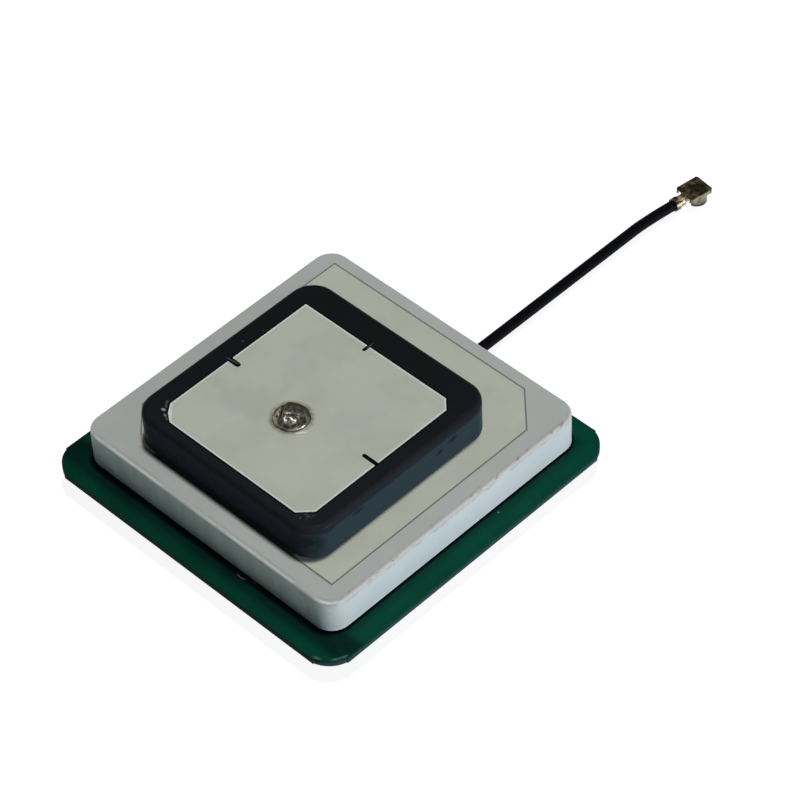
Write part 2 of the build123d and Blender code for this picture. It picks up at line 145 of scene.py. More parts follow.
def make_lead():
    route = [Vector(metres(*point, LEAD_HEIGHT)) for point in (LEAD_START, LEAD_EASE, LEAD_BEND, LEAD_END)]
    data = bpy.data.curves.new("lead", "CURVE")
    data.dimensions = "3D"
    data.resolution_u = 16
    data.bevel_depth = 1.0                  # the points' own radii give the thickness
    data.bevel_resolution = 8
    line = data.splines.new("NURBS")
    line.points.add(len(route) - 1)
    for point, place in zip(line.points, route):
        point.co = (*place, 1)
        point.radius = LEAD_DIAMETER / 2 * MM
    line.order_u = 3
    line.use_endpoint_u = True
    lead = bpy.data.objects.new("lead", data)
    bpy.context.scene.collection.objects.link(lead)
    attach(lead, "root")
    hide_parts("cable_jacket")
    return lead


# Material toolkit
class Nodes:
    """Shader tree that grows by calls. Each call gives one output of what it adds."""

    def __init__(self, tree):
        self.tree = tree

    def node(self, kind, inputs, output=0, **settings):
        """Adds a node. inputs names or numbers its sockets, each with a value or an output."""
        made = self.tree.nodes.new("ShaderNode" + kind)
        for key, value in settings.items():
            setattr(made, key, value)
        for key, value in inputs.items():
            self.fill(made.inputs[key], value)
        return made.outputs[output]

    def fill(self, socket, value):
        if isinstance(value, bpy.types.NodeSocket):
            self.tree.links.new(value, socket)
        elif socket.type == "RGBA":
            socket.default_value = (*value, 1)
        else:
            socket.default_value = value

    def math(self, operation, first, *others):
        """One operation on two values, or over and over on more."""
        for other in others:
            first = self.node("Math", {0: first, 1: other}, operation=operation)
        return first

    def plus(self, *values):
        return self.math("ADD", *values)

    def minus(self, first, second):
        return self.math("SUBTRACT", first, second)

    def times(self, *values):
        return self.math("MULTIPLY", *values)

    def most(self, *values):
        return self.math("MAXIMUM", *values)

    def unsigned(self, value):
        return self.math("ABSOLUTE", value, 0.0)

    def vector(self, operation, first, second=(0, 0, 0)):
        return self.node("VectorMath", {0: first, 1: second}, operation=operation)

    def length(self, vector):
        return self.node("VectorMath", {0: vector}, "Value", operation="LENGTH")

    def ramp(self, value, start, end, low=0.0, high=1.0):
        """Smooth step of a value, from low at start to high at end."""
        inputs = {"Value": value, "From Min": start, "From Max": end, "To Min": low, "To Max": high}
        return self.node("MapRange", inputs, interpolation_type="SMOOTHSTEP")

    def mix(self, amount, under, over):
        inputs = {0: amount, 6: under, 7: over}
        return self.node("Mix", inputs, 2, data_type="RGBA")


class Paint(Nodes):
    """Node material with one shader, whose patterns lie in millimetres of the part's frame."""

    def __init__(self, name, **constants):
        self.material = bpy.data.materials.new(name)
        self.material.use_nodes = True
        super().__init__(self.material.node_tree)
        self.shader = self.tree.nodes["Principled BSDF"]
        for socket, value in constants.items():
            self.shader.inputs[socket.replace("_", " ")].default_value = value
        place = self.node("TexCoord", {}, "Object")
        self.point = self.node("VectorMath", {0: place, "Scale": 1 / MM}, operation="SCALE")
        self.x, self.y, self.z = (self.node("SeparateXYZ", {0: self.point}, axis) for axis in range(3))

    def noise(self, scale, detail, stretch=(1, 1, 1), shift=0.0):
        """Cloudy pattern; scale is the count of its features in a millimetre."""
        place = self.vector("ADD", self.vector("MULTIPLY", self.point, stretch), (shift, shift, shift))
        return self.node("TexNoise", {"Vector": place, "Scale": scale, "Detail": detail})

    def clouds(self, scale, detail, start, end, low=0.0, high=1.0, stretch=(1, 1, 1), shift=0.0):
        """Cloudy pattern that goes from low, where the noise is at start, to high, where it is at end."""
        return self.ramp(self.noise(scale, detail, stretch, shift), start, end, low, high)

    def clouded(self, scale, first, second, shift=0.0):
        """Two colours in soft clouds."""
        return self.mix(self.clouds(scale, 4, 0.35, 0.65, shift=shift), first, second)

    def blob(self, middle, half, turn=0.0, core=0.3):
        """1 in the core of an ellipsoid turned about the vertical, and 0 from its surface on."""
        inputs = {"Vector": self.point, "Location": middle, "Rotation": (0, 0, radians(turn)), "Scale": half}
        local = self.node("Mapping", inputs, vector_type="TEXTURE")
        return self.ramp(self.length(local), 1, core)

    def marks(self, origin, *rows):
        """Several blobs. A row has its offset from the origin, and then its half, turn, core and strength."""
        blobs = []
        for offset, half, turn, core, strength in rows:
            blobs.append(self.times(self.blob(origin + Vector(offset), half, turn, core), strength))
        return self.most(*blobs)

    def inset(self, place, corner=0.0):
        """Distance inwards from the upright sides of a block, whose corners may be round."""
        offset = self.vector("ABSOLUTE", self.vector("SUBTRACT", self.point, tuple(place.middle)))
        offset = self.vector("MULTIPLY", offset, (1, 1, 0))
        past = self.vector("SUBTRACT", offset, (place.half.x - corner, place.half.y - corner, 0))
        past_x, past_y = (self.node("SeparateXYZ", {0: past}, axis) for axis in range(2))
        inner = self.math("MINIMUM", self.most(past_x, past_y), 0.0)
        outer = self.length(self.vector("MAXIMUM", past))
        return self.minus(corner, self.plus(inner, outer))

    def sheet_inset(self, place, cuts):
        """Distance inwards from the edges of a printed square with some corners cut off."""
        least = self.inset(place)
        for (side_x, side_y), cut in cuts.items():
            reach = place.half.x + place.half.y - cut
            along = self.times(self.minus(self.x, place.middle.x), side_x)
            across = self.times(self.minus(self.y, place.middle.y), side_y)
            spare = self.minus(reach, self.plus(along, across))
            least = self.math("MINIMUM", least, self.times(spare, sqrt(0.5)))
        return least

    def flatness(self):
        """1 on level faces, whichever way up, and 0 on upright ones."""
        normal = self.node("NewGeometry", {}, "Normal")
        return self.unsigned(self.node("SeparateXYZ", {0: normal}, 2))

    def level(self):
        """1 on faces that lie flat, and 0 on steep and upright ones."""
        return self.ramp(self.flatness(), 0.5, 0.8)

    def upright(self):
        """1 on upright faces, and 0 on flat ones and the round edges over them."""
        return self.ramp(self.flatness(), 0.35, 0.05)

    def finish(self, colour, roughness, metallic=None, relief=None):
        """Links the patterns to the shader. Relief is a height in millimetres."""
        for name, value in {"Base Color": colour, "Roughness": roughness, "Metallic": metallic}.items():
            if value is not None:
                self.fill(self.shader.inputs[name], value)
        if relief is not None:
            bump = self.node("Bump", {"Strength": 1.0, "Distance": MM, "Height": relief})
            self.fill(self.shader.inputs["Normal"], bump)
        return self.material


# Ceramics
def white_ceramic():
    """Off-white fired body: a greyer, bluer side towards -X that is painted shade, a pale ridge that is a
    painted highlight, and a darker band along the top edges that is partly dust and partly painted shade.
    """
    paint = Paint("white_ceramic_fired", Specular_IOR_Level=0.35)
    top, low = white_block.high.z, white_block.low.z
    inset = paint.inset(white_block, LOWER_CORNER)
    from_left = paint.minus(paint.x, white_block.low.x)
    from_front = paint.minus(paint.y, white_block.low.y)
    colour = paint.clouded(0.14, (0.535, 0.572, 0.556), (0.572, 0.603, 0.588))
    colour = paint.mix(paint.clouds(7, 3, 0.62, 0.75, 0, 0.35), colour, (0.47, 0.49, 0.47))

    # Streaks and soil on the side towards -X, over a darker, bluer colour there that is painted shade
    left = paint.times(paint.upright(), paint.ramp(from_left, 0.625, 0.025))
    streaks = paint.clouds(0.7, 4, 0.35, 0.65, stretch=(1, 1, 0.25), shift=4)
    colour = paint.mix(left, colour, paint.mix(streaks, (0.44, 0.54, 0.53), (0.50, 0.60, 0.59)))
    soil = paint.clouds(0.8, 5, 0.48, 0.66, 0, 0.42, (1, 1, 0.5), 12)
    soil = paint.times(left, soil, paint.ramp(from_front, 14.325, 5.325))
    colour = paint.mix(soil, colour, (0.36, 0.37, 0.35))

    # Dust and wear on the side towards -Y and on the edge over it, partly painted shade on the rounded edge
    front = paint.ramp(from_front, 1.525, 0.725)
    verge = paint.times(front, paint.ramp(inset, 0.34, 0.12))
    under = paint.times(verge, paint.ramp(paint.z, top - 1.2, top - 0.2, 0, 0.25))
    colour = paint.mix(under, colour, (0.47, 0.46, 0.44))
    level = paint.plus(paint.z, paint.clouds(0.8, 5, 0.3, 0.7, -0.28, 0.28, (1, 1, 0.3), 2))
    # Partly dust, partly painted shade: darker over the lower rounded edge and the top of the side
    dust_and_edge_shade = paint.times(verge, paint.ramp(level, top - 0.62, top - 0.36, 0, 0.7))
    colour = paint.mix(dust_and_edge_shade, colour, (0.44, 0.415, 0.39))
    edge = paint.times(front, paint.ramp(paint.z, top - 0.24, top - 0.10))
    # Partly dust, partly painted shade: a brownish band over the upper rounded edge
    band_inset = paint.plus(inset, paint.clouds(0.9, 5, 0.3, 0.7, -0.16, 0.16, shift=2))
    band = paint.times(edge, paint.ramp(band_inset, 0.65, 0.30, 0, 0.6))
    colour = paint.mix(band, colour, (0.50, 0.465, 0.44))
    chips = paint.times(edge, paint.clouds(1.9, 6, 0.60, 0.66, 0, 0.75, (0.6, 2, 2)),
                        paint.ramp(band_inset, 0.42, 0.24))
    colour = paint.mix(chips, colour, (0.25, 0.235, 0.215))

    # Painted highlight on the ridge, and the dull line beside it, along the top edge towards -X
    edge_breakup = paint.clouds(0.8, 4, 0.36, 0.60, 0.25, 1, (0.5, 0.5, 0.5), 7)
    side = paint.ramp(from_left, 2.025, 0.825)
    line = paint.times(side, edge_breakup, paint.ramp(inset, 0.28, 0.40), paint.ramp(inset, 0.66, 0.50), 0.42)
    colour = paint.mix(line, colour, (0.33, 0.37, 0.36))
    # Painted highlight: a pale line where the rounded edge turns to the top
    painted_ridge_highlight = paint.times(side, edge_breakup, paint.ramp(inset, 0.02, 0.07), paint.ramp(inset, 0.30, 0.18), 0.95)
    colour = paint.mix(painted_ridge_highlight, colour, (0.84, 0.90, 0.88))

    specks = paint.times(paint.clouds(2.3, 1, 0.745, 0.775, shift=3), paint.ramp(inset, 0.2, 0.0), 0.6)
    colour = paint.mix(specks, colour, (0.2, 0.18, 0.16))
    # Painted highlight: a pale line along the foot of the side towards -Y
    foot = paint.times(front, paint.ramp(paint.z, low + 0.22, low + 0.08), 0.6)
    colour = paint.mix(foot, colour, (0.74, 0.78, 0.77))
    relief = paint.minus(paint.times(paint.noise(6, 3), 0.006), paint.times(chips, 0.04))
    return paint.finish(colour, paint.clouds(0.9, 5, 0.3, 0.7, 0.45, 0.6), relief=relief)


def dark_ceramic():
    """Near-black fired body with a painted sheen on its top and sides, scraped where the silver over it was
    trimmed.
    """
    paint = Paint("dark_ceramic_fired", Specular_IOR_Level=0.01)
    top = dark_block.high.z
    from_left = paint.minus(paint.x, dark_block.low.x)
    from_front = paint.minus(paint.y, dark_block.low.y)
    # Painted sheen: the top a little lighter towards -X and -Y
    sheen_slope = paint.plus(paint.times(paint.x, 0.6), paint.times(paint.y, 0.4))
    sheen_slope = paint.plus(sheen_slope, paint.clouds(0.3, 4, 0.35, 0.65, -1.5, 1.5))
    colour = paint.mix(paint.ramp(sheen_slope, 5, -12), (0.0125, 0.0134, 0.0158), (0.0185, 0.0195, 0.0240))
    # Painted reflection: a bluish sheen on the upright sides, darker on the side towards -X as painted shade
    side = paint.times(paint.upright(), paint.ramp(paint.z, top - 0.55, top - 0.95))
    left = paint.ramp(from_left, 0.7, 0.1)
    colour = paint.mix(side, colour, paint.mix(left, (0.026, 0.040, 0.049), (0.020, 0.026, 0.038)))
    # Painted shadow: a near-black line on the top just outside the silver's edge
    edge = paint.sheet_inset(upper_silver, UPPER_CUTS)
    beside = paint.times(paint.ramp(edge, -0.24, -0.10), paint.ramp(paint.z, top - 0.2, top - 0.1), 0.85)
    colour = paint.mix(beside, colour, (0.002, 0.002, 0.003))

    # Scrape, streaks past two notches that hold a painted highlight line, flakes and dust that the trimming
    # left on the top
    front_corner = upper_silver.spot(-1, -1, top)
    rear_edge = upper_silver.spot(0, 1, top)
    right_edge = upper_silver.spot(1, 0, top)
    front_scrape = paint.blob(front_corner + Vector((0.35, 0.40, 0)), (1.15, 0.62, 0.7), -45, 0.5)
    front_scrape = paint.times(front_scrape, paint.clouds(3.2, 5, 0.47, 0.62))
    # The streaks are partly scratches and partly a painted highlight line in the notches' grooves
    streaks = paint.most(paint.blob(rear_edge + Vector((-0.28, -0.30, 0)), (0.16, 1.25, 0.6), 6, 0.2),
                         paint.blob(right_edge + Vector((0.12, 1.425, 0)), (0.75, 0.13, 0.6), -2, 0.2))
    flakes = paint.marks(upper_silver.spot(-1, 1, top),
                         ((0.76, -0.08, 0), (0.34, 0.19, 0.5), -80, 0.55, 0.9),
                         ((0.35, -0.76, 0), (0.34, 0.16, 0.5), 74, 0.4, 0.5),
                         ((1.69, 0.39, 0), (0.40, 0.19, 0.5), 28, 0.5, 0.17),
                         ((1.28, 0.06, 0), (0.40, 0.16, 0.5), 50, 0.5, 0.19),
                         ((0.15, -1.20, 0), (0.36, 0.14, 0.5), 59, 0.4, 0.2))
    dust = paint.marks(rear_edge,
                       ((2.32, 0.95, 0), (0.16, 0.16, 0.3), 0, 0.3, 1),
                       ((4.73, 0.48, 0), (0.12, 0.12, 0.3), 0, 0.3, 1))

    # Smears on the side towards -Y and round its left end, and a painted reflection darker high on that side
    smears = paint.marks(dark_block.spot(0, -1, top),
                         ((6.82, 0, -1.55), (0.9, 0.5, 0.6), 0, 0.1, 1),
                         ((4.92, 0, -2.0), (0.7, 0.5, 0.5), 0, 0.1, 1),
                         ((-6.18, 0, -1.3), (1.2, 0.5, 0.5), 0, 0.1, 1),
                         ((-10.08, 0, -0.8), (1.0, 0.5, 0.5), 0, 0.1, 1),
                         ((-11.85, 0.8, -2.1), (1.7, 1.7, 1.8), 0, 0.3, 1))
    smears = paint.times(smears, paint.clouds(0.9, 5, 0.3, 0.6, 0.3, 0.85, shift=4))
    colour = paint.mix(smears, colour, (0.008, 0.011, 0.015))
    # Painted reflection: the top of the side towards -Y painted darker, above the painted sheen
    rim = paint.times(paint.upright(), paint.ramp(paint.z, top - 1.05, top - 0.75),
                      paint.ramp(from_front, 0.8, 0.1), 0.85)
    colour = paint.mix(rim, colour, (0.014, 0.021, 0.031))
    colour = paint.mix(paint.times(front_scrape, 0.9), colour, (0.075, 0.075, 0.068))
    colour = paint.mix(paint.times(streaks, 0.75), colour, (0.11, 0.115, 0.115))
    colour = paint.mix(paint.times(dust, 0.6), colour, (0.12, 0.13, 0.12))
    colour = paint.mix(flakes, colour, (0.42, 0.43, 0.42))
    marks = paint.most(front_scrape, streaks, smears)
    rough = paint.plus(paint.clouds(0.5, 4, 0.3, 0.7, 0.24, 0.36, shift=2), paint.times(marks, 0.3))
    relief = paint.plus(paint.times(front_scrape, paint.noise(2.6, 4), 0.12),
                        paint.times(paint.most(streaks, flakes), 0.05),
                        paint.times(paint.noise(5, 2), 0.003))
    return paint.finish(colour, rough, relief=relief)


# Silver, solder and other metals
def fired_silver(name, place, cuts, tone, rim):
    """Screen-printed silver: a matt grey sheet with faint smudges, and a painted line of the rim colour along
    its edge.

    Gives the paint, the colour and the roughness, for a finish that may add to them.
    """
    paint = Paint(name, Specular_IOR_Level=0.2, Metallic=0.15)
    dim, light = ([value * share for value in tone] for share in (0.965, 1.03))
    colour = paint.clouded(0.22, dim, light, shift=1)
    smudge = paint.clouds(0.13, 5, 0.56, 0.68, 0, 0.5, (1, 1.6, 1), 9)
    colour = paint.mix(smudge, colour, (tone[0] * 0.93, tone[1] * 0.97, tone[2] * 1.02))
    # Painted light: the rim line is a painted highlight on the upper sheet and painted shade on the lower one
    if cuts:
        colour = paint.mix(paint.ramp(paint.sheet_inset(place, cuts), 0.22, 0.12), colour, rim)
    return paint, colour, paint.clouds(0.8, 4, 0.3, 0.7, 0.46, 0.58)


def upper_silver_finish():
    """Upper sheet: flux round the solder, light fingermarks, a painted highlight along its edge and a painted
    reflection below the solder.
    """
    tone, rim = (0.615, 0.640, 0.555), (0.84, 0.86, 0.82)
    paint, colour, rough = fired_silver("silver_upper", upper_silver, UPPER_CUTS, tone, rim)
    fingers = paint.marks(feed,
                          ((-1.35, 9.175, 0), (1.6, 1.0, 1), 30, 0.1, 0.42),
                          ((-2.65, 6.275, 0), (2.6, 1.3, 1), 40, 0.1, 0.42),
                          ((2.15, 3.375, 0), (1.4, 0.8, 1), 20, 0.1, 0.42),
                          ((2.75, -7.125, 0), (1.5, 0.7, 1), -40, 0.1, 0.42))
    colour = paint.mix(fingers, colour, (0.545, 0.572, 0.567))
    ring = paint.blob(drop_middle, (2.5, 2.5, 1), 0, 0.76)
    ring = paint.times(ring, paint.clouds(1.4, 4, 0.3, 0.6, 0.25, 0.9))
    colour = paint.mix(ring, colour, (0.21, 0.2, 0.11))
    # Painted reflection: a pale glint on the silver below the solder
    glint = paint.blob(feed + Vector((-0.75, -2.0, 0)), (0.85, 0.17, 1), -38, 0.5)
    colour = paint.mix(glint, colour, (0.90, 0.90, 0.82))
    return paint.finish(colour, rough, relief=paint.times(paint.noise(4, 3), 0.004))


def lower_silver_finish():
    """Lower sheet: a thin dark line round it that is painted shade, lighter behind the dark block as painted
    light, and black by its left foot as a painted shadow.
    """
    tone, rim = (0.62, 0.642, 0.550), (0.23, 0.23, 0.21)
    paint, colour, rough = fired_silver("silver_lower", lower_silver, LOWER_CUTS, tone, rim)
    # Painted light: a lighter patch behind the dark block's left corner
    rear = dark_block.spot(-1, 1, lower_silver.high.z) + Vector((-1.3, -0.2, 0))
    rear = paint.blob(rear, (2.0, 2.6, 1), 45, 0.6)
    colour = paint.mix(paint.times(rear, 0.8), colour, (0.86, 0.87, 0.76))
    # Painted shadow: black along the dark block's foot towards -X
    from_front = paint.minus(paint.y, dark_block.low.y)
    from_rear = paint.minus(dark_block.high.y, paint.y)
    foot = paint.times(paint.ramp(paint.minus(paint.x, dark_block.low.x), 0.3, -0.1),
                       paint.ramp(from_front, 1.8, 2.8), paint.ramp(from_rear, 2.8, 3.6))
    colour = paint.mix(paint.times(foot, 0.92), colour, (0.03, 0.03, 0.03))
    return paint.finish(colour, rough, relief=paint.times(paint.noise(4, 3), 0.004))


def ground_silver_finish():
    paint, colour, rough = fired_silver("silver_ground", lower_silver, {}, (0.58, 0.60, 0.55), None)
    return paint.finish(colour, rough)


def metal(name, bright, dull, patches, scale, smooth, rough, relief=0.004):
    """Plated or soldered metal: bright, with duller patches in the given share range of a cloudy pattern."""
    paint = Paint(name, Metallic=1.0)
    colour = paint.mix(paint.clouds(scale, 5, *patches), bright, dull)
    roughness = paint.clouds(scale * 2.2, 4, 0.3, 0.7, smooth, rough, shift=5)
    return paint.finish(colour, roughness, relief=paint.times(paint.noise(scale * 3, 4, shift=2), relief))


def drop_solder():
    """Dark, wrinkled solder with a pale shoulder, and brown flux round its far side and in the crease."""
    paint = Paint("solder_drop", Specular_IOR_Level=0.15)
    x = paint.minus(paint.x, feed.x)
    y = paint.minus(paint.y, feed.y)
    turn = radians(CREASE_ANGLE)
    along = paint.plus(paint.times(x, cos(turn)), paint.times(y, sin(turn)))
    beside = paint.plus(paint.times(x, -sin(turn)), paint.times(y, cos(turn)))
    beside = paint.minus(beside, CREASE_PLACE)
    offset = paint.vector("SUBTRACT", paint.point, tuple(drop_middle))
    away = paint.length(paint.vector("MULTIPLY", offset, (1, 1, 0)))
    colour = paint.mix(paint.clouds(2.2, 5, 0.38, 0.62), (0.41, 0.405, 0.355), (0.145, 0.142, 0.122))
    stain = paint.most(paint.clouds(1.1, 3, 0.5, 0.62, 0, 0.5, shift=8),
                       paint.ramp(along, -0.3, 0.8, 0, 0.65))
    colour = paint.mix(stain, colour, (0.12, 0.10, 0.055))
    shoulder = paint.times(paint.ramp(beside, 0.10, 0.28), paint.clouds(1.8, 4, 0.3, 0.5, 0.4, 1, shift=4))
    mottled = paint.mix(paint.clouds(3.4, 4, 0.42, 0.60, shift=5), (0.64, 0.62, 0.48), (0.27, 0.25, 0.16))
    colour = paint.mix(shoulder, colour, mottled)

    # Flux round the far rim, in the crease, in a hook at its end and round the foot
    uneven = paint.plus(along, paint.clouds(0.9, 4, 0.3, 0.7, -0.25, 0.25, shift=9))
    rim = paint.most(paint.times(paint.ramp(away, 1.38, 1.58), paint.ramp(along, -0.6, 0.4)),
                     paint.ramp(uneven, 0.52, 0.95))
    crease = paint.times(paint.ramp(paint.unsigned(beside), 0.22, 0.08),
                         paint.ramp(along, CREASE_END - 0.2, CREASE_END + 0.1))
    hook = paint.blob(feed + Vector((-1.18, 0.94, 0.4)), (0.34, 0.22, 0.6), CREASE_ANGLE, 0.4)
    foot = paint.ramp(paint.z, feed.z + 0.18, feed.z + 0.04)
    flux = paint.times(paint.most(rim, crease, hook, foot), paint.clouds(2.2, 4, 0.25, 0.5, 0.8, 1))
    colour = paint.mix(flux, colour, (0.034, 0.029, 0.010))

    # Painted shade: a dark spot standing for a small pit
    pit = paint.blob(feed + Vector((-0.45, -0.68, 0.8)), (0.13, 0.10, 0.4), -40, 0.5)
    colour = paint.mix(pit, colour, (0.03, 0.03, 0.03))
    metallic = paint.times(paint.ramp(flux, 0.2, 1.0, 1.0, 0.0), paint.ramp(shoulder, 0, 1, 1.0, 0.25))
    rough = paint.plus(paint.clouds(2.4, 4, 0.3, 0.7, 0.24, 0.36, shift=6), paint.times(flux, 0.45))
    return paint.finish(colour, rough, metallic, paint.times(paint.noise(2.8, 4, shift=1), 0.03))


def gold_plate():
    """Thin gold over brass, browned almost black on the flat plate, rubbed bright on the crimps, and painted
    darker towards the bottom as painted shade.
    """
    paint = Paint("gold_plate_worn", Metallic=0.9)
    top, low = plug.high.z, plug.low.z
    tarnish = paint.clouds(1.3, 5, 0.40, 0.58, shift=3)
    colour = paint.mix(tarnish, (0.26, 0.24, 0.16), (0.13, 0.118, 0.078))
    plate = paint.mix(paint.clouds(1.1, 4, 0.45, 0.66, shift=6), (0.045, 0.035, 0.017), (0.17, 0.14, 0.07))
    colour = paint.mix(paint.times(paint.level(), paint.ramp(paint.z, top - 0.4, top - 0.1)), colour, plate)
    crimp = paint.blob(plug.low + Vector((1.104, 1.734, 1.3)), (1.5, 1.0, 0.9), -8, 0.4)
    crimp = paint.times(crimp, paint.clouds(1.7, 3, 0.42, 0.58, shift=9))
    colour = paint.mix(crimp, colour, (0.58, 0.49, 0.27))
    # Painted shade: darker towards the bottom of the plug
    bottom_shade_breakup = paint.clouds(0.8, 4, 0.35, 0.6, 0.3, 0.9, shift=2)
    foot = paint.times(paint.ramp(paint.z, low + 0.42, low + 0.22), bottom_shade_breakup)
    colour = paint.mix(foot, colour, (0.03, 0.024, 0.014))
    rough = paint.clouds(1.8, 4, 0.3, 0.7, 0.28, 0.5)
    return paint.finish(colour, rough, relief=paint.times(paint.noise(3, 3), 0.03))


# Board
def solder_mask():
    """Green mask on both faces, bare laminate with glass fibres on the routed and scored sides."""
    paint = Paint("solder_mask_board", Specular_IOR_Level=0.03)
    top = board.high.z
    inset = paint.inset(board, BOARD_CORNER)
    from_left = paint.minus(paint.x, board.low.x)
    from_front = paint.minus(paint.y, board.low.y)
    near_corner = board.spot(-1, -1, top)
    # Painted light: lit and dim copies of the mask, lighter towards -Y and painted shade further back
    lit = paint.clouded(0.25, (0.0020, 0.059, 0.034), (0.0026, 0.068, 0.041))
    dim = paint.clouded(0.25, (0.0014, 0.044, 0.024), (0.0020, 0.053, 0.031))
    mask = paint.mix(paint.ramp(from_front, 5.5, 13.0), lit, dim)
    # Painted shade: darker towards the white block's foot, and in a strip along the side towards -X
    painted_foot_shade = paint.times(paint.ramp(inset, 1.0, 2.9), paint.clouds(0.8, 4, 0.2, 0.6, 0.5, 0.72, shift=6))
    painted_left_shade = paint.times(paint.ramp(from_left, 0.7, 2.0), paint.ramp(from_left, 5, 4),
                             paint.clouds(0.35, 4, 0.3, 0.7, 0.5, 0.85, (1, 0.5, 1), 1))
    mask = paint.mix(paint.most(painted_foot_shade, painted_left_shade), mask, (0.0015, 0.010, 0.010))

    # Pale flecks, and a squiggle beside the white block
    flecks = paint.times(paint.clouds(2.0, 2, 0.77, 0.80, shift=8), paint.clouds(0.4, 1, 0.5, 0.6))
    drawn = paint.marks(near_corner,
                        ((2.46, 15.04, 0), (0.45, 0.11, 0.3), 76, 0.5, 1),
                        ((2.49, 14.36, 0), (0.46, 0.12, 0.3), -70, 0.5, 1),
                        ((2.75, 13.43, 0), (0.80, 0.11, 0.3), -77, 0.5, 0.5),
                        ((25.4, 2.05, 0), (0.16, 0.11, 0.3), 0, 0.3, 1))
    mask = paint.mix(paint.times(paint.most(flecks, drawn), 0.7), mask, (0.30, 0.36, 0.33))

    # Pale lips of the routed corner, and a painted shadow as a black line along the white block's foot
    lips = paint.marks(near_corner,
                       ((0.40, 2.15, 0), (0.60, 0.30, 0.4), -62, 0.5, 1),
                       ((1.80, 0.58, 0), (1.10, 0.35, 0.4), -27, 0.5, 1))
    lips = paint.times(lips, paint.ramp(inset, 0.34, 0.20), paint.clouds(2.5, 4, 0.35, 0.55, 0.4, 1))
    mask = paint.mix(lips, mask, (0.080, 0.165, 0.145))
    beside = paint.inset(white_block, LOWER_CORNER)
    foot_shadow_line = paint.times(paint.ramp(beside, -0.36, -0.12), paint.ramp(from_front, 5.8, 4.8), 0.92)
    mask = paint.mix(foot_shadow_line, mask, (0.0005, 0.0015, 0.0015))

    # Laminate: green under the top face, greyer below, and darker towards -X as painted shade
    level = paint.plus(paint.z, paint.clouds(1.4, 4, 0.3, 0.7, -0.12, 0.12, (1, 1, 9), 3))
    depth = paint.minus(top, level)
    laminate = paint.mix(paint.ramp(depth, 0.5, 0.2), (0.034, 0.056, 0.058), (0.005, 0.036, 0.028))
    shaded = paint.mix(paint.ramp(depth, 0.6, 0.3), (0.030, 0.048, 0.047), (0.009, 0.026, 0.022))
    laminate = paint.mix(paint.ramp(from_left, 0.5, 0.05), laminate, shaded)
    fibres = paint.clouds(2.4, 5, 0.60, 0.74, 0, 0.4, (1, 1, 2), 5)
    laminate = paint.mix(fibres, laminate, (0.09, 0.115, 0.12))

    face = paint.level()
    colour = paint.mix(face, laminate, mask)
    grain = paint.ramp(face, 0, 1, 0.05, 0.002)
    relief = paint.times(paint.noise(3.5, 4), grain)
    return paint.finish(colour, paint.ramp(face, 0, 1, 0.75, 0.3), relief=relief)


# Lead, plastics and small parts
def plain_finish(name, base, variation, roughness, scale=1.0):
    """Moulded, extruded or printed stuff: one colour, its slight clouds, and an uneven surface."""
    paint = Paint(name)
    colour = paint.clouded(scale, base, variation)
    rough = paint.clouds(scale * 2, 3, 0.3, 0.7, roughness - 0.06, roughness + 0.06, shift=2)
    return paint.finish(colour, rough, relief=paint.times(paint.noise(scale * 4, 3), 0.003))


def jacket():
    """Black extruded jacket with a few pale scuffs along it."""
    paint = Paint("jacket_black", Specular_IOR_Level=0.03)
    scuff = paint.clouds(1.2, 5, 0.62, 0.74, 0, 0.5, (0.35, 1, 1))
    colour = paint.mix(scuff, (0.0024, 0.0026, 0.0042), (0.02, 0.02, 0.023))
    rough = paint.clouds(2.2, 3, 0.3, 0.7, 0.38, 0.52)
    return paint.finish(colour, rough, relief=paint.times(paint.noise(3, 3, (0.3, 1, 1)), 0.008))


def braid():
    """Fine tinned wires laid crosswise in two directions round the lead."""
    paint = Paint("braid_tinned", Metallic=1.0)
    waves = []
    for slant in (1.2, -1.2):
        place = paint.vector("MULTIPLY", paint.point, (1, slant, slant))
        inputs = {"Vector": place, "Scale": 9.0, "Distortion": 0.3}
        waves.append(paint.node("TexWave", inputs, 1, bands_direction="DIAGONAL"))
    weave = paint.most(*waves)
    colour = paint.mix(weave, (0.22, 0.20, 0.17), (0.72, 0.70, 0.66))
    return paint.finish(colour, 0.3, relief=paint.times(weave, 0.02))


# Solder drop on the upper pin
def drop_reach(angle):
    """Distance from the drop's middle to its outline, in one direction."""
    waver, circle, level = DROP_WAVE
    return DROP_RADIUS + waver * noise.noise(Vector((circle * cos(angle), circle * sin(angle), level)))


def drop_height(x, y):
    """Height of the drop at a place about the pin's axis, with the crease and the low shoulder past it."""
    share = hypot(x - DROP_SHIFT[0], y - DROP_SHIFT[1]) / DROP_RADIUS
    height = DROP_HEIGHT * sqrt(max(1 - share ** 2, 0)) + DROP_TILT * (y - x)
    turn = radians(CREASE_ANGLE)
    along = x * cos(turn) + y * sin(turn)
    beside = y * cos(turn) - x * sin(turn) - CREASE_PLACE
    strength = min(max((along - CREASE_END) / CREASE_EASE, 0), 1)
    height -= strength * CREASE_DEPTH * exp(-(beside / CREASE_WIDTH) ** 2)
    if beside > 0:
        height -= strength * SHOULDER_DROP * min(beside / CREASE_WIDTH, 1)
    for rise, count, level in DROP_LUMPS:
        height += rise * noise.noise(Vector((x, y, level)) * count)
    return height


